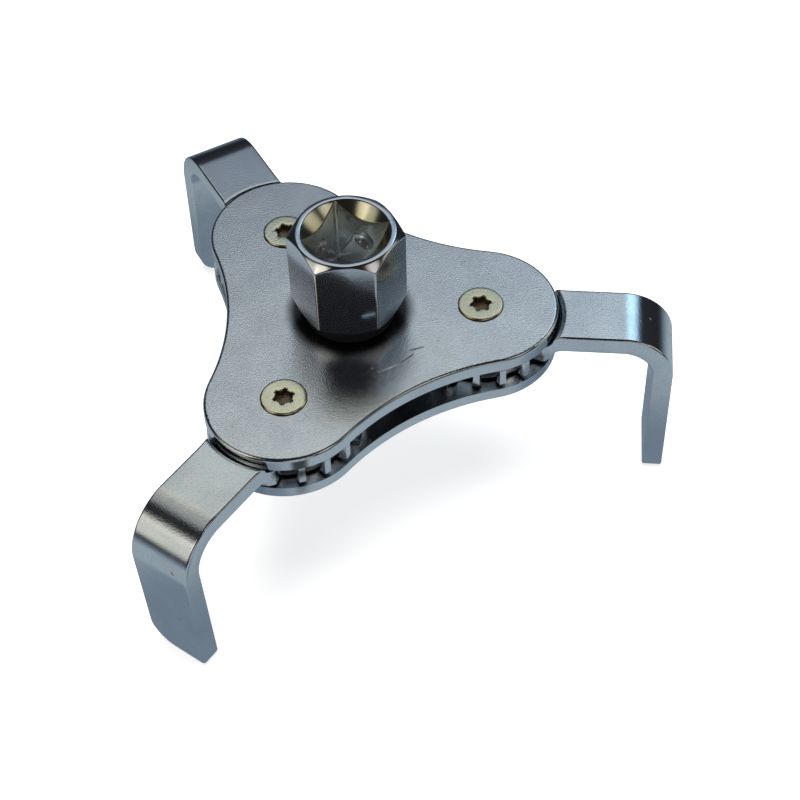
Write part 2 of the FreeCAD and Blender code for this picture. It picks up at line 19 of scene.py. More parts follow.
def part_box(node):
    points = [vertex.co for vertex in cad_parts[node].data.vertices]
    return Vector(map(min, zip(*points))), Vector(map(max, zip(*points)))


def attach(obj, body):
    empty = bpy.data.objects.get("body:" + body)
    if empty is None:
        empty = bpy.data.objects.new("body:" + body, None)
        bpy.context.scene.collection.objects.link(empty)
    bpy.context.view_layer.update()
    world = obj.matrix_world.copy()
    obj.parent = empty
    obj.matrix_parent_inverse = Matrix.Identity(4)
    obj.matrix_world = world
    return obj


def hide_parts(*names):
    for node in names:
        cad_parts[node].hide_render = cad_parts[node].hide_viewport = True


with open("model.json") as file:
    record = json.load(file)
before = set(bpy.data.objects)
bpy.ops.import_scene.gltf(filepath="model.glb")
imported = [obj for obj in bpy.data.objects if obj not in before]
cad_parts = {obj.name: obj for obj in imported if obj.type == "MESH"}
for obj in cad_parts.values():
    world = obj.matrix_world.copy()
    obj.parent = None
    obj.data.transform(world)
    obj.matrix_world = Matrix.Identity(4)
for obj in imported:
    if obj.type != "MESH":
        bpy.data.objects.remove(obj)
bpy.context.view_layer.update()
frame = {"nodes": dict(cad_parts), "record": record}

MM = 0.001
WELD = 2e-6                          # metres within which points become one
SHORTEST = 1e-7                      # metres under which an edge is dissolved
JAWS = (1, 2, 3)
Array = np.ndarray
Colour = tuple[float, float, float]
Socket = bpy.types.NodeSocket
log = logging.getLogger("wrench")


class Body(Enum):
    """The bodies that a piece can move with."""

    PLATES = "plates"
    DRIVE = "drive"
    JAW_1 = "jaw_1"
    JAW_2 = "jaw_2"
    JAW_3 = "jaw_3"


class Slot(Enum):
    """The record's material slots."""

    PLATE = "zinc_plate"
    ARM = "zinc_arm"
    CHROME = "dark_chrome"
    GEAR = "gear_steel"
    GOLD = "pale_gold"
    WASHER = "washer_steel"


# ---- Surfaces -----------------------------------------------------------------------------
@dataclass
class Skin:
    """Points in millimetres and the four-sided faces between them."""

    points: Array
    faces: Array

    @staticmethod
    def grid(points: Array, wrap: bool = False) -> "Skin":
        """Quads over a grid of points.

        Args:
            points: array of shape (rows, columns, 3).
            wrap: whether the last column joins the first.

        Returns:
            The grid as a skin, its rows joined in order.
        """
        rows, columns = points.shape[:2]
        index = np.arange(rows * columns).reshape(rows, columns)
        if wrap:
            index = np.hstack([index, index[:, :1]])
        faces = coords(index[:-1, :-1], index[:-1, 1:], index[1:, 1:], index[1:, :-1])
        return Skin(points.reshape(-1, 3), faces.reshape(-1, 4))

    @staticmethod
    def joined(skins: "list[Skin]") -> "Skin":
        """Several skins as one, with the faces renumbered."""
        starts = np.cumsum([0] + [len(s.points) for s in skins[:-1]])
        return Skin(np.vstack([s.points for s in skins]),
                    np.vstack([s.faces + start for s, start in zip(skins, starts)]))

    def piece(self, name: str, finish: bpy.types.Material, sharp: float) -> bpy.types.Object:
        """Closed, smooth-shaded object with its place in its mesh.

        Args:
            name: the object's name.
            finish: its one material.
            sharp: angle in degrees past which an edge is shaded sharp.

        Returns:
            The object, linked to the scene.
        """
        mesh = bpy.data.meshes.new(name)
        mesh.from_pydata((self.points * MM).tolist(), [], self.faces.tolist())
        work = bmesh.new()
        work.from_mesh(mesh)
        bmesh.ops.remove_doubles(work, verts=work.verts, dist=WELD)
        bmesh.ops.dissolve_degenerate(work, edges=work.edges, dist=SHORTEST)
        bmesh.ops.recalc_face_normals(work, faces=work.faces)
        work.to_mesh(mesh)
        open_edges = sum(1 for e in work.edges if not e.is_manifold)
        work.free()
        mesh.polygons.foreach_set("use_smooth", np.ones(len(mesh.polygons), bool))
        mesh.set_sharp_from_angle(angle=math.radians(sharp))
        mesh.materials.append(finish)
        made = bpy.data.objects.new(name, mesh)
        bpy.context.scene.collection.objects.link(made)
        log.info("%s: %d faces, %d open edges", name, len(mesh.polygons), open_edges)
        return made


def coords(*parts: Array) -> Array:
    """Arrays side by side, as the coordinates of points."""
    return np.stack(parts, axis=-1)


def smooth_step(low: float, high: float, value: Array) -> Array:
    """0 below low, 1 above high, and a smooth cubic between them."""
    t = np.clip((value - low) / (high - low), 0.0, 1.0)
    return t * t * (3 - 2 * t)


def polygon_radius(angle: Array, sides: int, apothem: float, flat: float, corner: float) -> Array:
    """Distance from the axis to a regular polygon whose corners are rounded.

    A flat is apothem / cos(angle from the flat's middle). A corner is an arc whose centre lies on
    the corner's line, so the radius there solves the triangle between axis, centre and point.

    Args:
        angle: directions in degrees.
        sides: number of flats.
        apothem: axis to flat.
        flat: direction in degrees of the middle of one flat.
        corner: radius of the rounded corners.

    Returns:
        The radius in each direction.
    """
    step = 360.0 / sides
    half = math.radians(step / 2)
    from_flat = np.radians((angle - flat + step / 2) % step - step / 2)
    on_flat = apothem / np.cos(from_flat)
    centre = (apothem - corner) / math.cos(half)
    from_corner = half - np.abs(from_flat)
    rest = np.maximum(corner ** 2 - (centre * np.sin(from_corner)) ** 2, 0.0)
    on_corner = centre * np.cos(from_corner) + np.sqrt(rest)
    straight = apothem * np.abs(np.tan(from_flat)) <= (apothem - corner) * math.tan(half)
    return np.where(straight, on_flat, on_corner)


def rounded_chain(nodes: list[tuple], count: int, most: float = 0.45, rows: int = 5) -> Array:
    """Profile through a chain of nodes, with the bend at each node eased by a short curve.

    At a node the profile leaves the incoming side at the node's ease distance, follows the
    quadratic curve with the node as its control point, and joins the outgoing side at the same
    distance.

    Args:
        nodes: (radius, height, ease) for each node, where radius and height are numbers or one
            value for each direction.
        count: how many directions there are.
        most: largest share of a side that an ease may take up.
        rows: points along each eased bend.

    Returns:
        Array of shape (all rows, count, 2) of radii and heights.
    """
    track = np.stack([coords(*(np.broadcast_to(np.asarray(value, float), count)
                               for value in node[:2])) for node in nodes])
    t = np.linspace(0.0, 1.0, rows)[:, None, None]
    parts = [track[:1]]
    for i in range(1, len(nodes) - 1):
        ease = nodes[i][2]
        if ease <= 0:
            parts.append(track[i:i + 1])
            continue
        sides = [track[i - 1] - track[i], track[i + 1] - track[i]]
        lengths = [np.linalg.norm(side, axis=-1, keepdims=True) + 1e-9 for side in sides]
        reach = np.minimum(ease, most * np.minimum(*lengths))
        start, end = (track[i] + side / length * reach for side, length in zip(sides, lengths))
        parts.append((1 - t) ** 2 * start + 2 * t * (1 - t) * track[i] + t ** 2 * end)
    return np.concatenate([*parts, track[-1:]])


def turned_skin(profile: Array, angle: Array, centre: tuple = (0.0, 0.0)) -> Skin:
    """Surface whose point is (radius cos angle, radius sin angle, height) about a centre."""
    radius, height = profile[..., 0], profile[..., 1]
    turn = np.radians(angle)
    points = coords(centre[0] + radius * np.cos(turn), centre[1] + radius * np.sin(turn), height)
    return Skin.grid(points, wrap=True)


def joint_place(name: str) -> tuple[float, float]:
    """Where a hinge's axis crosses the plan, in millimetres."""
    joint = next(j for j in frame["record"]["behaviour"]["joints"] if j["name"] == name)
    return joint["pos_m"][0] / MM, joint["pos_m"][1] / MM


def mount(name: str) -> dict:
    """The record's mount of that name."""
    return next(m for m in frame["record"]["mounts"] if m["name"] == name)


def mount_direction(name: str) -> float:
    """Direction in degrees that a mount's axis points in plan."""
    axis = mount(name)["axis"]
    return math.degrees(math.atan2(axis[1], axis[0]))


def heights(node: str) -> tuple[float, float]:
    """Lowest and highest point of a CAD node, in millimetres."""
    low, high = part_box(node)
    return low.z / MM, high.z / MM


# ---- Shader groups ------------------------------------------------------------------------
class Nodes:
    """A node tree with short ways to add and join nodes."""

    def __init__(self, tree: bpy.types.NodeTree) -> None:
        """Starts on a tree whose nodes are cleared."""
        self.tree = tree
        tree.nodes.clear()

    def add(self, kind: str, inputs: dict | None = None, **settings: object) -> bpy.types.Node:
        """Adds a node.

        Args:
            kind: the node's type name.
            inputs: socket name or number to a value, or to another node's output. A colour of
                three numbers is opaque.
            settings: the node's own properties.

        Returns:
            The node.
        """
        node = self.tree.nodes.new(kind)
        for key, value in settings.items():
            setattr(node, key, value)
        for key, value in (inputs or {}).items():
            socket = node.inputs[key]
            if isinstance(value, Socket):
                self.tree.links.new(value, socket)
            elif socket.type == "RGBA" and len(value) == 3:
                socket.default_value = (*value, 1.0)
            else:
                socket.default_value = value
        return node

    def math(self, operation: str, *values: object, clamp: bool = False) -> Socket:
        """Output of a Math node over one, two or three values."""
        return self.add("ShaderNodeMath", dict(enumerate(values)), operation=operation,
                        use_clamp=clamp).outputs[0]

    def vector(self, operation: str, *values: object) -> Socket:
        """Output of a Vector Math node, which is a vector or, for some operations, a number."""
        node = self.add("ShaderNodeVectorMath", dict(enumerate(values)), operation=operation)
        number = operation in ("DISTANCE", "LENGTH", "DOT_PRODUCT")
        return node.outputs["Value" if number else "Vector"]

    def ramp(self, value: Socket, low: float, high: float, to_low: float = 0.0,
             to_high: float = 1.0) -> Socket:
        """Smooth step of a value from low..high to to_low..to_high."""
        return self.add("ShaderNodeMapRange", {"Value": value, "From Min": low, "From Max": high,
                                               "To Min": to_low, "To Max": to_high},
                        interpolation_type="SMOOTHSTEP").outputs[0]

    def mix(self, factor: object, first: object, second: object, blend: str = "MIX") -> Socket:
        """Colour between two colours, or their blend by that factor."""
        return self.add("ShaderNodeMix", {0: factor, 6: first, 7: second}, data_type="RGBA",
                        blend_type=blend).outputs[2]

    def noise(self, place: Socket, scale: Socket, detail: float, roughness: float = 0.5) -> Socket:
        """Noise from 0 to 1 over a place."""
        return self.add("ShaderNodeTexNoise", {"Vector": place, "Scale": scale, "Detail": detail,
                                               "Roughness": roughness}).outputs[0]

    def group(self, tree: bpy.types.NodeTree, **inputs: object) -> bpy.types.bpy_prop_collection:
        """Outputs of a shader group that is placed with these inputs."""
        return self.add("ShaderNodeGroup", inputs, node_tree=tree).outputs


def new_group(name: str, outputs: tuple[str, ...], **numbers: float) -> tuple:
    """Starts a shader group that reads a place, as Vector, and numbers.

    Args:
        name: the group's name.
        outputs: names of its outputs, which are numbers.
        numbers: name and default of each number that it reads.

    Returns:
        The group's Nodes and the sockets of its inputs.
    """
    tree = bpy.data.node_groups.new(name, "ShaderNodeTree")
    tree.interface.new_socket("Vector", in_out="INPUT", socket_type="NodeSocketVector")
    for key, value in numbers.items():
        socket = tree.interface.new_socket(key, in_out="INPUT", socket_type="NodeSocketFloat")
        socket.default_value = value
    for key in outputs:
        tree.interface.new_socket(key, in_out="OUTPUT", socket_type="NodeSocketFloat")
    nodes = Nodes(tree)
    return nodes, nodes.add("NodeGroupInput").outputs


@dataclass
class Effects:
    """The shader groups that the finishes share, each built once.

    Pairs are the noise values between which an effect comes or goes.
    """

    fine_scale: float = 2.7          # fine bumps to coarse ones
    fine_height: float = 0.35
    cloud_scale: float = 0.035
    peel: tuple[float, float] = (0.32, 0.68)
    pits: tuple[float, float] = (0.36, 0.50)
    dips: tuple[float, float] = (0.40, 0.56)
    fleck_bend: float = 0.9          # how far noise bends a fleck's outline
    fleck_edge: float = 0.45
    ridge: float = 0.035             # half-width of a drag mark in the noise's values

    def __post_init__(self) -> None:
        """Builds the groups."""
        self.grain = self._grain()
        self.flecks = self._flecks()
        self.scratches = self._scratches()

    def _grain(self) -> bpy.types.NodeTree:
        """Orange-peel skin of plated steel: two sizes of soft bumps, and dark speckle in dips."""
        nodes, source = new_group("plated_grain", ("Height", "Speckle", "Cloud"),
                                  Size=0.0006, Speckle=0.5)
        place = source["Vector"]
        scale = nodes.math("DIVIDE", 1.0, source["Size"])
        coarse = nodes.noise(place, scale, 2.0, 0.55)
        fine = nodes.noise(place, nodes.math("MULTIPLY", scale, self.fine_scale), 1.0)
        cloud = nodes.noise(place, nodes.math("MULTIPLY", scale, self.cloud_scale), 3.0)
        peel = nodes.ramp(coarse, *self.peel)
        height = nodes.math("MULTIPLY_ADD", fine, self.fine_height, peel)
        both = nodes.math("MULTIPLY", nodes.ramp(fine, *self.pits, 1.0, 0.0),
                          nodes.ramp(coarse, *self.dips, 1.0, 0.0))
        speckle = nodes.math("MULTIPLY", both, source["Speckle"])
        nodes.add("NodeGroupOutput", {"Height": height, "Speckle": speckle, "Cloud": cloud})
        return nodes.tree

    def _flecks(self) -> bpy.types.NodeTree:
        """Small scattered marks with uneven edges: cells of which a random test keeps some."""
        nodes, source = new_group("scattered_flecks", ("Mask",),
                                  Spacing=0.0016, Amount=0.3, Reach=0.3)
        place = source["Vector"]
        scale = nodes.math("DIVIDE", 1.0, source["Spacing"])
        bend = nodes.noise(place, nodes.math("MULTIPLY", scale, 2.0), 2.0)
        cells = nodes.add("ShaderNodeTexVoronoi", {"Vector": place, "Scale": scale}).outputs
        chance = nodes.add("ShaderNodeSeparateColor", {"Color": cells["Color"]}).outputs[0]
        kept = nodes.math("LESS_THAN", chance, source["Amount"])
        uneven = nodes.math("MULTIPLY_ADD", bend, self.fleck_bend, -self.fleck_bend / 2)
        near = nodes.math("ADD", cells["Distance"], uneven)
        inside = nodes.math("SUBTRACT", 1.0, nodes.math("DIVIDE", near, source["Reach"]),
                            clamp=True)
        mask = nodes.math("MULTIPLY", kept, nodes.ramp(inside, 0.0, self.fleck_edge))
        nodes.add("NodeGroupOutput", {"Mask": mask})
        return nodes.tree

    def _scratches(self) -> bpy.types.NodeTree:
        """Fine drag marks: noise drawn out along one axis and cut to its ridges."""
        nodes, source = new_group("drag_marks", ("Mask",), Pitch=0.0005, Stretch=14.0)
        scale = nodes.math("DIVIDE", 1.0, source["Pitch"])
        squeeze = nodes.math("DIVIDE", 1.0, source["Stretch"])
        stretch = nodes.add("ShaderNodeCombineXYZ", {0: squeeze, 1: 1.0, 2: 1.0}).outputs[0]
        noise = nodes.noise(nodes.vector("MULTIPLY", source["Vector"], stretch), scale, 3.0)
        away = nodes.math("ABSOLUTE", nodes.math("SUBTRACT", noise, 0.5))
        nodes.add("NodeGroupOutput", {"Mask": nodes.ramp(away, 0.0, self.ridge, 1.0, 0.0)})
        return nodes.tree


@dataclass(frozen=True)
class Zone:
    """A round part about the drive axis with a surface of its own, or with painted shade. Lengths
    are metres.
    """

    radius: float
    low: float
    high: float
    slope: float                     # how fast the upper limit rises with the radius
    low_colour: Colour
    high_colour: Colour
    roughness: float
    metallic: float
    blur: float = 0.0001             # width of the soft edge outside the radius
    low_blur: float = 0.0002
    high_blur: float = 0.00012

    def paint(self, nodes: Nodes, place: Socket) -> tuple[Socket, Socket]:
        """Nodes for the zone's mask and colour.

        The mask is 1 inside the radius, over the lower limit and under high + slope x radius,
        with soft edges, and the colour goes from the low to the high one over that height.

        Args:
            nodes: the material's nodes.
            place: the Object coordinates.

        Returns:
            The mask and the colour.
        """
        height = nodes.add("ShaderNodeSeparateXYZ", {0: place}).outputs[2]
        radius = nodes.vector("LENGTH", nodes.vector("MULTIPLY", place, (1.0, 1.0, 0.0)))
        limit = nodes.math("MULTIPLY_ADD", radius, self.slope, self.high)
        under = nodes.ramp(nodes.math("SUBTRACT", limit, height), 0.0, self.high_blur)
        over = nodes.ramp(height, self.low, self.low + self.low_blur)
        inside = nodes.ramp(radius, self.radius, self.radius + self.blur, 1.0, 0.0)
        mask = nodes.math("MULTIPLY", nodes.math("MULTIPLY", under, over), inside)
        rise = nodes.ramp(height, self.low, self.high + self.slope * self.radius)
        return mask, nodes.mix(rise, self.low_colour, self.high_colour)


@dataclass(frozen=True)
class Plating:
    """A plated metal finish. Lengths are metres, colours are linear."""

    name: str
    bright: Colour
    dull: Colour
    stain: Colour = (0.20, 0.12, 0.07)
    roughness: float = 0.24
    rough_change: float = 0.10
    grain_size: float = 0.0006
    grain_height: float = 0.00001
    speckle: float = 0.6
    speckle_colour: float = 0.45     # share of the dull colour
    speckle_rough: float = 0.15
    fleck_spacing: float = 0.0022
    fleck_amount: float = 0.0
    fleck_reach: float = 0.22
    fleck_rough: float = 0.35
    fleck_loss: float = 0.8          # of metal and of height, where a fleck is
    scratch: float = 0.0
    scratch_pitch: float = 0.0004
    metallic: float = 1.0
    side_smooth: float = 0.0
    zones: tuple[Zone, ...] = ()

    def material(self, effects: Effects) -> bpy.types.Material:
        """Builds the finish.

        The colour goes from bright to dull by a large cloud, then darkens in the speckle, turns to
        the stain in the flecks and takes the zones' colours, where some zones paint shade.
        Roughness follows cloud and speckle, and the grain's height and the drag marks feed one
        bump.

        Args:
            effects: the shared shader groups.

        Returns:
            The material.
        """
        made = bpy.data.materials.new(self.name)
        made.use_nodes = True
        nodes = Nodes(made.node_tree)
        place = nodes.add("ShaderNodeTexCoord").outputs["Object"]
        grain = nodes.group(effects.grain, Vector=place, Size=self.grain_size,
                            Speckle=self.speckle)
        speckle, height = grain["Speckle"], grain["Height"]
        cloud = nodes.ramp(grain["Cloud"], 0.3, 0.7)
        dark = tuple(self.speckle_colour * c for c in self.dull)
        colour = nodes.mix(speckle, nodes.mix(cloud, self.bright, self.dull), dark)
        rough = nodes.math("MULTIPLY_ADD", cloud, self.rough_change,
                           self.roughness - self.rough_change / 2)
        rough = nodes.math("MULTIPLY_ADD", speckle, self.speckle_rough, rough)
        metal = self.metallic
        if self.side_smooth > 0:
            # Faces that stand upright were cut, not rolled, so the grain fades out on them.
            facing = nodes.add("ShaderNodeNewGeometry").outputs["True Normal"]
            up = nodes.add("ShaderNodeSeparateXYZ", {0: facing}).outputs[2]
            level = nodes.ramp(nodes.math("ABSOLUTE", up), 0.5, 0.95, 1.0 - self.side_smooth, 1.0)
            height = nodes.math("MULTIPLY", height, level)
        if self.scratch > 0:
            drag = nodes.group(effects.scratches, Vector=place, Pitch=self.scratch_pitch)["Mask"]
            height = nodes.math("MULTIPLY_ADD", drag, -self.scratch, height)
        if self.fleck_amount > 0:
            fleck = nodes.group(effects.flecks, Vector=place, Spacing=self.fleck_spacing,
                                Amount=self.fleck_amount, Reach=self.fleck_reach)["Mask"]
            colour = nodes.mix(fleck, colour, self.stain)
            rough = nodes.math("MULTIPLY_ADD", fleck, self.fleck_rough, rough)
            metal = nodes.math("MULTIPLY_ADD", fleck, -self.fleck_loss, metal)
            height = nodes.math("MULTIPLY_ADD", fleck, -self.fleck_loss, height)
        # Zones tint the countersink and socket and paint shade on the hexagon's foot, the collar,
        # the top plate and the screws.
        for zone in self.zones:
            mask, tint = zone.paint(nodes, place)
            colour = nodes.mix(mask, colour, tint)
            rough = nodes.math("MULTIPLY_ADD", mask, zone.roughness - self.roughness, rough)
            metal = nodes.math("MULTIPLY_ADD", mask, zone.metallic - self.metallic, metal)
        bump = nodes.add("ShaderNodeBump", {"Height": height, "Strength": 1.0,
                                            "Distance": self.grain_height}).outputs[0]
        shader = nodes.add("ShaderNodeBsdfPrincipled", {
            "Base Color": colour, "Metallic": metal, "Roughness": rough, "Normal": bump})
        nodes.add("ShaderNodeOutputMaterial", {0: shader.outputs[0]})
        return made


RIM = heights("drive_socket")[1] * MM
PLATE_TOP = heights("top_plate")[1] * MM
SCREW_TOP = heights("pivot_screw_1")[1] * MM
COUNTERSINK = Zone(0.0091, RIM - 0.0028, RIM + 0.001, 0.0, (0.52, 0.48, 0.31),
                   (0.74, 0.72, 0.60), roughness=0.18, metallic=1.0)
# Painted reflection tones in the socket: bluer and lighter towards its floor, olive towards the
# mouth.
SOCKET_BORE = Zone(0.0089, RIM - 0.0175, RIM - 0.0091, 1.0, (0.80, 0.84, 0.89),
                   (0.66, 0.63, 0.50), roughness=0.12, metallic=0.92)
# Painted shade under the hexagon: its lower chamfer, the collar and the shank below are made dark.
HEX_FOOT_SHADE = Zone(0.0135, PLATE_TOP - 0.02, PLATE_TOP - 0.00695, 1.0, (0.04, 0.04, 0.045),
                (0.05, 0.05, 0.055), roughness=0.30, metallic=0.8)
# Painted shadow and painted dark reflection: a soft dark ring on the top plate round the collar.
PLATE_COLLAR_SHADOW = Zone(0.0112, PLATE_TOP - 0.0005, PLATE_TOP + 0.001, 0.0,
                    (0.045, 0.045, 0.048), (0.045, 0.045, 0.048), roughness=0.22,
                    metallic=1.0, blur=0.0032)
# Painted shade in each screw's recess and on its head below the top face, in dark brown.
SCREW_RECESS_SHADE = Zone(1.0, 0.0, SCREW_TOP - 0.00022, 0.0, (0.10, 0.08, 0.05), (0.14, 0.11, 0.07),
                    roughness=0.30, metallic=0.8)
# Painted shade: the collar under the hexagon is made nearly black.
COLLAR_SHADE = Zone(0.0095, PLATE_TOP - 0.02, PLATE_TOP + 0.0025, 0.0, (0.02, 0.02, 0.022),
                   (0.03, 0.03, 0.034), roughness=0.40, metallic=0.5)

PLATINGS: dict[Slot, Plating] = {
    Slot.PLATE: Plating("zinc_plate", (0.83, 0.85, 0.87), (0.76, 0.78, 0.81), roughness=0.14,
                        rough_change=0.04, grain_size=0.00029, grain_height=0.0000120,
                        speckle=0.50, fleck_amount=0.08, fleck_spacing=0.0030,
                        fleck_reach=0.10, stain=(0.34, 0.31, 0.29), side_smooth=0.85,
                        zones=(PLATE_COLLAR_SHADOW,)),
    Slot.ARM: Plating("zinc_arm", (0.82, 0.84, 0.86), (0.74, 0.76, 0.79), roughness=0.14,
                      rough_change=0.05, grain_size=0.00030, grain_height=0.0000082,
                      speckle=0.45, fleck_amount=0.12, fleck_spacing=0.0024,
                      fleck_reach=0.11, stain=(0.24, 0.14, 0.09), side_smooth=0.5),
    Slot.CHROME: Plating("dark_chrome", (0.74, 0.74, 0.76), (0.68, 0.68, 0.71), roughness=0.12,
                         rough_change=0.04, grain_size=0.0009, grain_height=0.000002,
                         speckle=0.10, scratch=0.4, scratch_pitch=0.0006,
                         zones=(COUNTERSINK, SOCKET_BORE, HEX_FOOT_SHADE, COLLAR_SHADE)),
    Slot.GEAR: Plating("gear_steel", (0.78, 0.80, 0.83), (0.62, 0.64, 0.68), roughness=0.16,
                       grain_size=0.0006, grain_height=0.000006, speckle=0.3),
    Slot.GOLD: Plating("pale_gold", (0.93, 0.87, 0.64), (0.84, 0.78, 0.57), roughness=0.20,
                       grain_size=0.0006, grain_height=0.000006, speckle=0.25,
                       fleck_amount=0.12, fleck_spacing=0.0015, fleck_reach=0.12,
                       stain=(0.35, 0.28, 0.16), zones=(SCREW_RECESS_SHADE,)),
    Slot.WASHER: Plating("washer_steel", (0.60, 0.61, 0.63), (0.45, 0.46, 0.48),
                         roughness=0.30, grain_size=0.0008, grain_height=0.000006,
                         speckle=0.4, scratch=0.6),
}


# ---- Jaw arm ------------------------------------------------------------------------------
SMALL_CORNER = 1.2                   # radius of a jaw tip's corner that isn't cut away


@dataclass
class JawArm:
    """One jaw: toothed head, flared neck, stepped strip and bent leg with a rounded tip."""

    number: int
    tip_corners: tuple[float, float]
    lean: float = 0.0                # degrees that the leg is bent past square
    teeth_on_circle: int = 18
    teeth: int = 14
    first_tooth: float = 50.0
    module: float = 1.65
    pressure_angle: float = 14.5
    half_tooth: float = 3.775        # degrees, at the pitch circle
    tip_radius: float = 15.873
    root_radius: float = 13.477
    bore_radius: float = 4.55
    neck_angle: float = 31.0
    neck_root_angle: float = 33.5
    flare_radius: float = 7.0
    half_width: float = 6.95
    thickness: float = 4.3
    reach: float = 40.8
    bend_radius: float = 11.0
    step_start: float = 15.9
    step_run: float = 2.2
    step_rise: float = 2.0
    straight_from: float = 27.0
    edge: float = 0.45
    tooth_edge: float = 0.18
    edge_blend: float = 4.0          # length over which one edge becomes the other
    crest_points: int = 3            # on a tooth's crest, and on the land between two teeth
    lead_points: int = 5             # from the neck to the first tooth
    band_rows: int = 5               # in a quarter round
    stations: Array = field(init=False)

    def __post_init__(self) -> None:
        """Reads heights and directions from the frame and lays out the stations."""
        self.node = f"jaw_arm_{self.number}"
        tip, self.top = heights(self.node)
        self.pivot = joint_place(f"jaw_swing_{self.number}")
        self.turn = mount_direction(f"jaw_face_{self.number}") + 180.0
        self.head_middle = self.top - self.step_rise - self.thickness / 2
        lean = math.radians(self.lean)
        self.full_turn = math.pi / 2 + lean
        self.bend_start = self.reach - self.bend_radius
        self.middle_radius = self.bend_radius - self.thickness / 2
        self.bend_end = self.bend_start + self.middle_radius * self.full_turn
        fall = self.top - self.bend_radius - tip - self.middle_radius * math.sin(lean)
        self.leg = fall / math.cos(lean)
        self.length = self.bend_end + self.leg
        neck = self.tip_radius * math.cos(math.radians(self.neck_angle))
        flare = self.tip_radius * math.sin(math.radians(self.neck_angle)) - self.half_width
        self.strip_start = neck + math.sqrt(2 * flare * self.flare_radius - flare ** 2)
        self.step_radius = (self.step_run ** 2 + self.step_rise ** 2) / (4 * self.step_rise)
        turn = 2 * math.atan(self.step_rise / self.step_run)
        rise = self.step_radius * np.sin(np.linspace(0.0, turn, 11))
        step_end = self.step_start + self.step_run
        longest = max(self.tip_corners)
        quarter = np.sin(np.linspace(0, math.pi / 2, 21))
        self.stations = np.unique(np.round(np.concatenate([
            [self.tip_radius], self.step_start + rise, step_end - rise,
            np.linspace(step_end, self.bend_start, 26),
            np.linspace(self.bend_start, self.bend_end, 37),
            np.linspace(self.bend_end, self.length - longest, 30),
            self.length - SMALL_CORNER + SMALL_CORNER * quarter,
            self.length - longest + longest * quarter,
        ]), 4))
        self.curl = 1.0 - smooth_step(step_end, self.straight_from, self.stations)

    def row(self, width: Array) -> Array:
        """Length along the arm at each station's row, at a distance from the centre line.

        Near the head a row is an arc about the pivot, x = sqrt(station^2 - width^2), and it eases
        into a straight line across the strip.
        """
        s, curl = self.stations, self.curl
        if width.ndim == 2:
            s, curl = s[:, None], curl[:, None]
        return s - curl * (s - np.sqrt(np.maximum(s ** 2 - width ** 2, 0.0)))

    def side(self, sign: int) -> Array:
        """Strip's edge points at each station, on one side.

        The flare is an arc tangent to the strip, and the tip corner is an arc tangent to it. The
        edge point's place depends on the width there, so the two are found by repetition.
        """
        s = self.stations
        radius = self.tip_corners[0 if sign < 0 else 1]
        past = np.clip(s - (self.length - radius), 0.0, radius)
        corner = radius - np.sqrt(np.maximum(radius ** 2 - past ** 2, 0.0))
        x = s.copy()
        for _ in range(30):
            ahead = np.clip(self.strip_start - x, 0.0, self.flare_radius)
            flare = self.flare_radius - np.sqrt(self.flare_radius ** 2 - ahead ** 2)
            width = self.half_width + flare - corner
            x = self.row(width)
        return coords(x, sign * width)

    def toothed_line(self) -> Array:
        """Outline of the toothed part, from one side of the neck round to the other.

        A tooth's flank at radius r stands half_tooth + inv(pitch) - inv(r) from its centre, where
        inv is the involute's angle, and below the base circle it runs straight to the root.

        Returns:
            Array of points (x, y).
        """
        pitch = self.module * self.teeth_on_circle / 2
        base = pitch * math.cos(math.radians(self.pressure_angle))

        def involute(radius: Array) -> Array:
            """Angle in radians that the involute has turned through at a radius."""
            roll = np.sqrt(np.maximum((radius / base) ** 2 - 1, 0.0))
            return roll - np.arctan(roll)

        flank = np.linspace(base, self.tip_radius, 5)
        lean = self.half_tooth + np.degrees(involute(np.array(pitch)) - involute(flank))
        between = self.crest_points
        crest = np.linspace(-lean[-1], lean[-1], between + 2)[1:-1]
        step = 360.0 / self.teeth_on_circle
        land = np.linspace(lean[0], step - lean[0], between + 2)[1:-1]
        local = np.concatenate([[-lean[0]], -lean, crest, lean[::-1], [lean[0]], land])
        root = [self.root_radius]
        radius = np.concatenate([root, flank, np.full(between, self.tip_radius), flank[::-1],
                                 root, root * between])
        centres = self.first_tooth + step * np.arange(self.teeth)
        angles = (local[None, :] + centres[:, None]).ravel()[:-between]
        radii = np.tile(radius, self.teeth)[:-between]
        lead = np.linspace(self.neck_root_angle, angles[0], self.lead_points + 1)[:-1]
        trail = np.linspace(angles[-1], 360.0 - self.neck_root_angle, self.lead_points + 1)[1:]
        rise = np.linspace(0.0, 1.0, 4)[1:-1]
        neck_angle = self.neck_angle + (self.neck_root_angle - self.neck_angle) * rise
        neck_radius = self.tip_radius + (self.root_radius - self.tip_radius) * rise
        angles = np.concatenate([neck_angle, lead, angles, trail, 360.0 - neck_angle[::-1]])
        radii = np.concatenate([neck_radius, root * self.lead_points, radii,
                                root * self.lead_points, neck_radius[::-1]])
        turn = np.radians(angles)
        return coords(radii * np.cos(turn), radii * np.sin(turn))

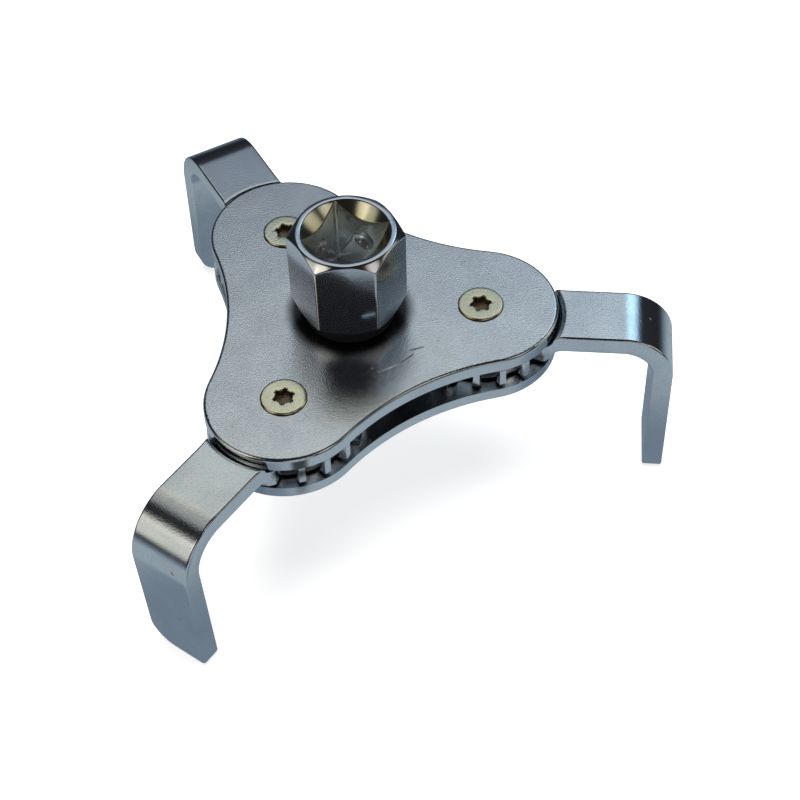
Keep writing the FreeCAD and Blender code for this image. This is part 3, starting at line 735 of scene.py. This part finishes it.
    def mapped(self, points: Array) -> Array:
        """Carries flat points onto the arm's path and out to its pivot.

        With the distance from the pivot, the height gains two equal arcs that turn opposite ways
        across the step. Past the bend's start the length along the strip becomes an angle about
        the bend's centre, and past its end it runs down the leg, which leans in by its own angle
        and ends in a level face.

        Args:
            points: (..., 3) of length along the arm, width and height from the middle face.

        Returns:
            The same points in the frame's axes.
        """
        along, width, off = points[..., 0], points[..., 1], points[..., 2]
        radius = self.step_radius
        run = np.clip(np.hypot(along, width) - self.step_start, 0.0, self.step_run)
        first = radius - np.sqrt(radius ** 2 - np.minimum(run, self.step_run / 2) ** 2)
        left = np.minimum(self.step_run - run, self.step_run / 2)
        second = self.step_rise - radius + np.sqrt(radius ** 2 - left ** 2)
        lift = np.where(run <= self.step_run / 2, first, second)
        turn = np.clip((along - self.bend_start) / self.middle_radius, 0.0, self.full_turn)
        lean = math.radians(self.lean)
        down = np.maximum(along - self.bend_end, 0.0) * (1 - off * math.tan(lean) / self.leg)
        arm = self.middle_radius + off
        level = self.head_middle + lift
        x = np.where(along <= self.bend_start, along,
                     self.bend_start + arm * np.sin(turn) - down * math.sin(lean))
        z = np.where(along <= self.bend_start, level + off,
                     self.top - self.bend_radius + arm * np.cos(turn) - down * math.cos(lean))
        a = math.radians(self.turn)
        return coords(self.pivot[0] + x * math.cos(a) - width * math.sin(a),
                      self.pivot[1] + x * math.sin(a) + width * math.cos(a), z)

    def build(self) -> Skin:
        """Closed skin: two faces, the rounded edge band between them and the bore.

        Each face is a grid across the strip and a grid between the bore and the head's outline,
        both drawn in from the outline by the edge's radius. The band carries a quarter round,
        the straight wall and another quarter round along the whole outline.
        """
        s = self.stations
        strip = len(s)
        teeth = self.toothed_line()
        left, right = self.side(1), self.side(-1)[::-1]
        across = np.concatenate([[1.0, 0.975], np.linspace(0.9, -0.9, 17), [-0.975, -1.0]])
        share = (across + 1) / 2
        end = left[-1] * share[1:-1, None] + right[0] * (1 - share[1:-1, None])
        outline = np.vstack([left, end, right, teeth[::-1]])
        far_side = slice(strip + len(end), 2 * strip + len(end))
        ahead = np.roll(outline, -1, axis=0) - outline
        behind = outline - np.roll(outline, 1, axis=0)
        ahead /= np.linalg.norm(ahead, axis=-1, keepdims=True)
        behind /= np.linalg.norm(behind, axis=-1, keepdims=True)
        along = ahead + behind
        along /= np.linalg.norm(along, axis=-1, keepdims=True)
        inward = coords(along[:, 1], -along[:, 0])
        edge = np.full(len(outline), self.edge)
        edge[far_side.stop:] = self.tooth_edge
        blend = smooth_step(0.0, self.edge_blend, s - s[0])
        edge[:strip] = self.tooth_edge + (self.edge - self.tooth_edge) * blend
        edge[far_side] = edge[:strip][::-1]

        def drawn_in(share_of_edge: float) -> Array:
            """Outline moved inwards; along the neck its points slide on their own rows."""
            moved = outline + inward * (edge * share_of_edge)[:, None]
            for part, order in ((slice(0, strip), 1), (far_side, -1)):
                inset = np.abs(outline[part, 1]) - edge[part] * share_of_edge
                on_row = coords(self.row(inset[::order])[::order],
                                np.sign(outline[part, 1]) * inset)
                near = (s < self.straight_from)[::order, None]
                moved[part] = np.where(near, on_row, moved[part])
            return moved

        drawn = drawn_in(1.0)
        half = self.thickness / 2
        quarter = np.linspace(0.0, math.pi / 2, self.band_rows)
        round_in, round_down = 1 - np.sin(quarter), 1 - np.cos(quarter)
        inset = np.concatenate([round_in, round_in[::-1]])
        drop = np.concatenate([round_down, round_down[::-1]])
        sign = np.repeat([1.0, -1.0], self.band_rows)
        band_plan = np.stack([drawn_in(share_of_edge) for share_of_edge in inset])
        band_height = sign[:, None] * (half - drop[:, None] * edge[None])
        band = np.concatenate([band_plan, band_height[..., None]], axis=-1)
        skins = [Skin.grid(self.mapped(band), wrap=True)]

        left_in, right_in = drawn[:strip], drawn[far_side][::-1]
        width = left_in[:, 1:] * share + right_in[:, 1:] * (1 - share)
        off_left, off_right = ((part[:, 0] - self.row(part[:, 1]))[:, None]
                               for part in (left_in, right_in))
        length = self.row(width) + off_left * share + off_right * (1 - share)
        face = coords(length, width)
        face[-1, 1:-1] = drawn[strip:strip + len(end)]
        head_rim = np.vstack([face[0], drawn[far_side.stop:]])
        angle = np.arctan2(head_rim[:, 1], head_rim[:, 0])
        bore = self.bore_radius * coords(np.cos(angle), np.sin(angle))
        reach = np.array([0.0, 0.35, 0.7, 0.9, 0.97, 1.0])[:, None, None]
        head = bore * (1 - reach) + head_rim * reach
        for level in (half, -half):
            for plan, wrap in ((face, False), (head, True)):
                skins.append(Skin.grid(self.mapped(self.raised(plan, level)), wrap=wrap))
        wall = np.stack([self.raised(bore, half), self.raised(bore, -half)])
        skins.append(Skin.grid(self.mapped(wall), wrap=True))
        return Skin.joined(skins)

    @staticmethod
    def raised(plan: Array, level: float) -> Array:
        """Plan points with one height added."""
        return np.concatenate([plan, np.full((*plan.shape[:-1], 1), level)], axis=-1)

    def dress(self, finish: bpy.types.Material) -> bpy.types.Object:
        """Makes the piece in place of its CAD node and lets it ride on its jaw."""
        made = self.build().piece(f"jaw_{self.number}", finish, sharp=38.0)
        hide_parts(self.node)
        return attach(made, Body(f"jaw_{self.number}").value)


# ---- Drive --------------------------------------------------------------------------------
@dataclass
class DriveSocket:
    """Hexagon, collar, shank and journal in one turned piece with a square socket."""

    directions: int = 600
    flats: float = 21.0
    hex_flat: float = -90.0          # direction of the front flat before the whole is turned
    hex_corner: float = 0.55
    rim_inset: float = 0.3
    chamfer_angle: float = 43.0
    countersink: float = 9.1
    square: float = 12.9
    square_corner: float = 0.7
    square_flat: float = -30.0       # direction of one wall, as hex_flat
    square_depth: float = 16.0
    floor_dish: tuple[tuple[float, float], ...] = ((2.0, 0.15), (0.0, 0.25))   # radius, drop
    detent_radius: float = 2.4
    detent_depth: float = 0.9
    detent_from_mouth: float = 8.3
    collar: float = 9.3
    collar_shown: float = 2.3
    shank: float = 11.0
    shank_corner: float = 0.4
    journal: float = 5.4
    journal_chamfer: float = 0.5
    clip_groove: float = 4.7

    def __post_init__(self) -> None:
        """Reads heights and the hexagon's direction from the frame."""
        self.end, self.rim = heights("drive_socket")
        self.plate_top = heights("top_plate")[1]
        self.gear = heights("center_gear")
        self.clip = heights("drive_circlip")
        self.turn = mount_direction("hex_flat_front") - self.hex_flat

    def build(self) -> Skin:
        """Surface of radius by direction and height, from the lower pole to the socket floor's.

        The hexagon meets its chamfer cone where the hexagon's radius equals the cone's, and the
        square meets the countersink where its radius equals the countersink's, so both crease
        lines rise and fall with the direction. A detent is a dish: its depth falls with the
        square of the distance from its middle.
        """
        angle = np.arange(self.directions) * 360.0 / self.directions
        hexagon = polygon_radius(angle, 6, self.flats / 2, self.hex_flat, self.hex_corner)
        square = polygon_radius(angle, 4, self.square / 2, self.square_flat, self.square_corner)
        shank = polygon_radius(angle, 4, self.shank / 2, 0.0, self.shank_corner)
        underside = self.plate_top + self.collar_shown
        rim_radius = self.flats / 2 - self.rim_inset
        slope = math.tan(math.radians(self.chamfer_angle))
        upper = self.rim - (hexagon - rim_radius) * slope
        lower = underside + (hexagon - self.collar)
        meet = self.rim - (self.countersink - square)
        floor = self.rim - self.square_depth
        small = self.journal - self.journal_chamfer
        depths = np.concatenate([[4.0, 5.4], np.arange(5.7, 11.0, 0.15), [12.0, 14.0]])
        nodes = [
            (0.0, self.end, 0), (small, self.end, 0),
            (self.journal, self.end + self.journal_chamfer, 0),
            (self.journal, self.clip[0], 0), (self.clip_groove, self.clip[0], 0),
            (self.clip_groove, self.clip[1], 0), (self.journal, self.clip[1], 0),
            (self.journal, self.gear[0], 0), (shank, self.gear[0], 0),
            (shank, self.gear[1], 0), (self.collar, self.gear[1], 0),
            (self.collar, underside, 0.12), (hexagon, lower, 0.22),
            (hexagon, (upper + lower) / 2, 0),
            (hexagon, upper, 0.22), (rim_radius, self.rim, 0.32),
            (self.countersink, self.rim, 0.24), (square, meet, 0.25),
        ]
        nodes += [(square, self.rim - depth, 0) for depth in depths]
        nodes += [(square, floor, 0.5), *((r, floor - down, 0) for r, down in self.floor_dish)]
        profile = rounded_chain(nodes, self.directions)
        depth = self.rim - profile[..., 1]
        from_wall = np.radians((angle - self.square_flat + 45.0) % 90.0 - 45.0)
        aside = profile[..., 0] * np.sin(from_wall)
        away = np.hypot(aside, depth - self.detent_from_mouth)
        inner = np.arange(len(profile)) > np.argmax(profile[:, 0, 1])
        dish = np.clip(1.0 - (away / self.detent_radius) ** 2, 0.0, 1.0) * inner[:, None]
        profile[..., 0] += dish * self.detent_depth / np.cos(from_wall)
        return turned_skin(profile, angle + self.turn)

    def dress(self, finish: bpy.types.Material) -> bpy.types.Object:
        """Makes the piece in place of its CAD node and lets it ride on the drive."""
        made = self.build().piece("hex_drive", finish, sharp=32.0)
        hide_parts("drive_socket")
        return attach(made, Body.DRIVE.value)


# ---- Screws -------------------------------------------------------------------------------
@dataclass
class PivotScrew:
    """Low-headed screw with a six-lobed recess."""

    number: int
    directions: int = 360
    head_radius: float = 4.7
    head_height: float = 1.9
    head_edge: float = 0.45
    thread_radius: float = 2.5
    core: float = 1.72
    lobe: float = 0.5
    depth: float = 1.6
    # The recess floor's points: share of the star's radius, and drop below the floor's edge.
    floor_dish: tuple[tuple[float, float], ...] = ((0.0, 0.25), (0.55, 0.12))
    recess_edge: tuple[float, float] = (0.14, 0.12)   # how far its bevel goes out and down
    thread_chamfer: float = 0.3
    turn: float = 0.0

    def star(self, angle: Array) -> Array:
        """Recess radius: the far side of the nearest lobe's circle, or the core circle."""
        from_lobe = np.radians((angle + 30.0) % 60.0 - 30.0)
        inside = self.lobe ** 2 - (self.core * np.sin(from_lobe)) ** 2
        lobed = self.core * np.cos(from_lobe) + np.sqrt(np.maximum(inside, 0.0))
        return np.where(inside > 0, np.maximum(lobed, self.core), self.core)

    def build(self) -> Skin:
        """Surface of radius by direction and height, from the recess floor out and down."""
        low, top = heights(f"pivot_screw_{self.number}")
        angle = np.arange(self.directions) * 360.0 / self.directions
        star = self.star(angle)
        seat, floor, cut = top - self.head_height, top - self.depth, self.thread_chamfer
        nodes = [(star * share, floor - down, 0) for share, down in self.floor_dish] + [
            (star, floor, 0.1), (star, top - self.recess_edge[1], 0.1),
            (star + self.recess_edge[0], top, 0.08), (3.1, top, 0),
            (self.head_radius - 0.75, top, 0), (self.head_radius, top, self.head_edge),
            (self.head_radius, seat, 0), (self.thread_radius, seat, 0),
            (self.thread_radius, low + cut, 0), (self.thread_radius - cut, low, 0),
            (0.0, low, 0),
        ]
        profile = rounded_chain(nodes, self.directions)
        centre = joint_place(f"jaw_swing_{self.number}")
        return turned_skin(profile, angle + self.turn, centre)

    def dress(self, finish: bpy.types.Material) -> bpy.types.Object:
        """Makes the piece in place of its CAD node and lets it ride on the plates."""
        made = self.build().piece(f"screw_{self.number}", finish, sharp=40.0)
        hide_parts(f"pivot_screw_{self.number}")
        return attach(made, Body.PLATES.value)


# ---- Kept pieces --------------------------------------------------------------------------
@dataclass
class KeptNodes:
    """CAD nodes whose shape stays, each with the finish of its slot."""

    finishes: dict[Slot, tuple[str, ...]] = field(default_factory=lambda: {
        Slot.PLATE: ("top_plate", "bottom_plate"),
        Slot.GEAR: ("center_gear", "drive_circlip", *(f"pivot_post_{n}" for n in JAWS)),
        Slot.WASHER: ("drive_washer", *(f"upper_washer_{n}" for n in JAWS),
                      *(f"lower_washer_{n}" for n in JAWS)),
    })

    def dress(self, materials: dict[Slot, bpy.types.Material]) -> list[bpy.types.Object]:
        """Puts each node's finish into its material slots."""
        dressed = []
        for slot, names in self.finishes.items():
            for name in names:
                node = frame["nodes"][name]
                for material_slot in node.material_slots:
                    material_slot.material = materials[slot]
                dressed.append(node)
        return dressed


# ---- Studio -------------------------------------------------------------------------------
def toward(azimuth: float, elevation: float) -> Vector:
    """Unit vector for an azimuth, counted from the x axis, and an elevation, in degrees."""
    a, e = math.radians(azimuth), math.radians(elevation)
    return Vector((math.cos(a) * math.cos(e), math.sin(a) * math.cos(e), math.sin(e)))


@dataclass(frozen=True)
class SkyPatch:
    """A soft light in the studio: where the object sees it and how wide, in degrees."""

    azimuth: float
    elevation: float
    inner: float
    outer: float
    colour: Colour
    strength: float


@dataclass(frozen=True)
class FloorSpot:
    """A round painted shadow on the floor, which only reflections see. Lengths are metres."""

    place: tuple[float, float, float]
    inner: float                     # the tint is full within this radius
    outer: float                     # and gone past this one
    tint: Colour


@dataclass
class Studio:
    """Camera, floor, surroundings and lamp. The camera's lengths are millimetres."""

    azimuth: float = -0.53
    elevation: float = 49.48
    roll: float = -1.70
    distance: float = 380.31
    target: tuple[float, float, float] = (9.617, -25.268, 42.05)
    lens: float = 85.77
    dark: Colour = (0.013, 0.014, 0.017)
    behind: tuple[float, float] = (0.29, 0.50)   # y of a direction, from dark to the backdrop
    backdrop: tuple[tuple[float, Colour], ...] = (
        (0.0, (0.013, 0.014, 0.017)), (38.0, (0.022, 0.025, 0.031)),
        (41.0, (0.030, 0.040, 0.055)), (42.5, (0.08, 0.105, 0.15)), (44.0, (0.39, 0.50, 0.65)),
        (46.5, (0.51, 0.595, 0.68)), (49.5, (0.52, 0.56, 0.52)),
        (51.5, (0.46, 0.49, 0.42)), (54.0, (0.62, 0.63, 0.54)), (60.0, (0.80, 0.80, 0.72)),
        (67.0, (0.48, 0.49, 0.48)), (74.0, (0.12, 0.125, 0.13)), (90.0, (0.06, 0.065, 0.07)))
    patches: tuple[SkyPatch, ...] = (
        SkyPatch(61.0, 41.5, 6.0, 11.5, (0.45, 0.77, 1.0), 1.20),
        SkyPatch(148.0, 62.0, 4.0, 14.0, (0.98, 1.0, 0.95), 0.38),
        SkyPatch(-158.0, 22.0, 12.0, 24.0, (1.0, 1.0, 0.90), 0.68),
        SkyPatch(-143.0, 40.0, 5.0, 15.0, (1.0, 0.94, 0.80), 1.1),
        SkyPatch(-36.0, 38.0, 5.0, 16.0, (1.0, 0.96, 0.88), 0.8),
        SkyPatch(6.0, 19.0, 6.0, 24.0, (0.97, 0.95, 0.84), 0.7),
        SkyPatch(74.0, 46.0, 6.0, 22.0, (0.58, 0.72, 1.0), 0.145),
        SkyPatch(26.0, 50.0, 4.0, 14.0, (0.45, 0.75, 1.0), 0.13),
        SkyPatch(-75.0, 10.0, 10.0, 22.0, (0.92, 0.96, 1.0), 0.50),
    )
    floor_size: float = 6.0
    floor_drop: float = 0.0002       # how far it lies below the jaw tips
    floor_colour: Colour = (0.60, 0.61, 0.62)
    floor_lift: float = 0.72         # its own light, where no reflection sees it
    floor_tones: tuple[tuple[float, Colour], ...] = (
        (0.0, (0.33, 0.41, 0.46)), (0.095, (0.33, 0.40, 0.45)),
        (0.145, (0.35, 0.42, 0.46)), (0.22, (0.17, 0.22, 0.27)), (0.33, (0.08, 0.11, 0.15)),
        (0.5, (0.03, 0.035, 0.04)))
    floor_middle: tuple[float, float, float] = (0.015, -0.070, 0.0)
    # Painted shadows that reflections see on the floor: round each foot, and a dark pool in front
    # of the hexagon.
    foot_shade: tuple[float, float] = (0.016, 0.036)
    foot_shadow_tint: Colour = (0.54, 0.585, 0.65)
    shadow_pool: FloorSpot = FloorSpot((0.0, -0.0725, 0.0), 0.0060, 0.0120, (0.08, 0.08, 0.08))
    lamp_toward: tuple[float, float] = (90.0, 80.0)   # azimuth and elevation
    lamp_size: float = 0.9
    lamp_power: float = 14.0
    lamp_colour: Colour = (1.0, 0.99, 0.97)

    def place_camera(self) -> None:
        """Camera from azimuth, elevation and distance to the target, then rolled."""
        back = toward(self.azimuth - 90.0, self.elevation)
        right = toward(self.azimuth, 0.0)
        up = back.cross(right)
        r = math.radians(self.roll)
        axes = (right * math.cos(r) + up * math.sin(r), up * math.cos(r) - right * math.sin(r),
                back, Vector(self.target) * MM + back * self.distance * MM)
        data = bpy.data.cameras.new("camera")
        data.lens, data.sensor_width = self.lens, 36.0
        data.clip_start, data.clip_end = 0.01, 50.0
        camera = bpy.data.objects.new("camera", data)
        camera.matrix_world = Matrix([(*(axis[i] for axis in axes),) for i in range(3)]
                                     + [(0, 0, 0, 1)])
        bpy.context.scene.collection.objects.link(camera)
        bpy.context.scene.camera = camera

    @staticmethod
    def graded(nodes: Nodes, value: Socket, stops: list) -> Socket:
        """Colour that follows a value through stops.

        Args:
            nodes: the tree's nodes.
            value: number from 0 to 1.
            stops: (number, colour) pairs in order, the first at 0 and the last at 1.

        Returns:
            The colour.
        """
        ramp = nodes.add("ShaderNodeValToRGB", {0: value})
        elements = ramp.color_ramp.elements
        elements[0].color, elements[-1].color = (*stops[0][1], 1.0), (*stops[-1][1], 1.0)
        for at, tint in stops[1:-1]:
            elements.new(at).color = (*tint, 1.0)
        return ramp.outputs[0]

    def floor_spots(self) -> list[FloorSpot]:
        """Painted shadows under the three feet, and a painted shadow pool that the hexagon's front
        reflects.
        """
        feet = ((*mount(f"jaw_face_{n}")["pos_m"][:2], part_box(f"jaw_arm_{n}")[0].z) for n in JAWS)
        return [*(FloorSpot(foot, *self.foot_shade, self.foot_shadow_tint) for foot in feet),
                self.shadow_pool]

    def lay_floor(self) -> None:
        """Pale floor at the jaw tips' height.

        Glossy rays see its tones instead, which change with the distance from the floor's middle
        and are darkened by the painted shadows of its spots.
        """
        half = self.floor_size / 2
        mesh = bpy.data.meshes.new("floor")
        mesh.from_pydata([(x, y, -self.floor_drop) for x, y in
                          ((-half, -half), (half, -half), (half, half), (-half, half))],
                         [], [(0, 1, 2, 3)])
        made = bpy.data.objects.new("floor", mesh)
        bpy.context.scene.collection.objects.link(made)
        material = bpy.data.materials.new("pale_floor")
        material.use_nodes = True
        nodes = Nodes(material.node_tree)
        pale = nodes.add("ShaderNodeBsdfDiffuse", {"Color": self.floor_colour})
        lift = nodes.add("ShaderNodeEmission", {"Color": (1.0, 1.0, 1.0),
                                                "Strength": self.floor_lift})
        seen = nodes.add("ShaderNodeAddShader", {0: pale.outputs[0], 1: lift.outputs[0]})
        place = nodes.add("ShaderNodeTexCoord").outputs["Object"]
        apart = nodes.vector("DISTANCE", place, self.floor_middle)
        furthest = self.floor_tones[-1][0]
        tones = self.graded(nodes, nodes.math("DIVIDE", apart, furthest, clamp=True),
                            [(at / furthest, tint) for at, tint in self.floor_tones])
        for spot in self.floor_spots():
            near = nodes.vector("DISTANCE", place, spot.place)
            shade = nodes.mix(nodes.ramp(near, spot.inner, spot.outer), spot.tint,
                              (1.0, 1.0, 1.0))
            tones = nodes.vector("MULTIPLY", tones, shade)
        dim = nodes.add("ShaderNodeEmission", {"Color": tones, "Strength": 1.0})
        self.split(nodes, "Is Glossy Ray", seen, dim, "ShaderNodeOutputMaterial")
        mesh.materials.append(material)

    @staticmethod
    def split(nodes: Nodes, ray: str, others: bpy.types.Node, those: bpy.types.Node,
              output: str) -> None:
        """Ends a tree with one shader for a kind of ray and another for all other rays.

        Args:
            nodes: the tree's nodes.
            ray: the Light Path output that picks those rays.
            others: shader for all other rays.
            those: shader for the picked rays.
            output: type name of the tree's output node.
        """
        path = nodes.add("ShaderNodeLightPath")
        both = nodes.add("ShaderNodeMixShader", {0: path.outputs[ray], 1: others.outputs[0],
                                                 2: those.outputs[0]})
        nodes.add(output, {0: both.outputs[0]})

    def surround(self) -> None:
        """World of a graded backdrop, soft patches and dark, white where the eye sees it."""
        world = bpy.data.worlds.new("studio")
        bpy.context.scene.world = world
        world.use_nodes = True
        nodes = Nodes(world.node_tree)
        direction = nodes.add("ShaderNodeTexCoord").outputs["Generated"]
        part = nodes.add("ShaderNodeSeparateXYZ", {0: direction}).outputs
        wall = self.graded(nodes, part[2], [(math.sin(math.radians(elevation)), tint)
                                            for elevation, tint in self.backdrop])
        colour = nodes.mix(nodes.ramp(part[1], *self.behind), self.dark, wall)
        for patch in self.patches:
            facing = nodes.vector("DOT_PRODUCT", direction,
                                  toward(patch.azimuth, patch.elevation))
            glow = nodes.ramp(facing, *(math.cos(math.radians(angle))
                                        for angle in (patch.outer, patch.inner)))
            light = tuple(c * patch.strength for c in patch.colour)
            colour = nodes.mix(glow, colour, light, blend="ADD")
        studio = nodes.add("ShaderNodeBackground", {"Color": colour, "Strength": 1.0})
        white = nodes.add("ShaderNodeBackground", {"Color": (1.0, 1.0, 1.0)})
        self.split(nodes, "Is Camera Ray", studio, white, "ShaderNodeOutputWorld")

    def hang_lamp(self) -> None:
        """Square soft lamp one metre from the object, facing it, for the floor's light."""
        away = toward(*self.lamp_toward)
        data = bpy.data.lights.new("overhead", "AREA")
        data.shape, data.size = "SQUARE", self.lamp_size
        data.energy, data.color = self.lamp_power, self.lamp_colour
        lamp = bpy.data.objects.new("overhead", data)
        lamp.location = away + Vector((0.0, 0.0, 0.03))
        lamp.visible_glossy = False
        lamp.rotation_euler = away.to_track_quat("Z", "Y").to_euler()
        bpy.context.scene.collection.objects.link(lamp)

    def build(self) -> None:
        """Sets up everything that isn't the object."""
        self.place_camera()
        self.lay_floor()
        self.surround()
        self.hang_lamp()
        view = bpy.context.scene.view_settings
        view.view_transform, view.look = "Standard", "None"


# ---- Assembly -----------------------------------------------------------------------------
# Each jaw's two tip corners and how far past square its leg leans, and each screw's turn.
JAW_TIPS = {1: ((SMALL_CORNER, SMALL_CORNER), 0.0), 2: ((SMALL_CORNER, 5.5), 0.0),
            3: ((6.0, SMALL_CORNER), 3.0)}
SCREW_TURNS = {1: 8.0, 2: -12.0, 3: 20.0}


def main() -> None:
    """Builds each sub-assembly in order."""
    logging.basicConfig(level=logging.INFO, format="%(name)s: %(message)s")
    effects = Effects()
    materials = {slot: plating.material(effects) for slot, plating in PLATINGS.items()}
    for node in KeptNodes().dress(materials):
        log.info("%s keeps its shape", node.name)
    DriveSocket().dress(materials[Slot.CHROME])
    for number, (corners, lean) in JAW_TIPS.items():
        JawArm(number, corners, lean).dress(materials[Slot.ARM])
    for number, turn in SCREW_TURNS.items():
        PivotScrew(number, turn=turn).dress(materials[Slot.GOLD])
    Studio().build()


if __name__ == "__main__":
    main()
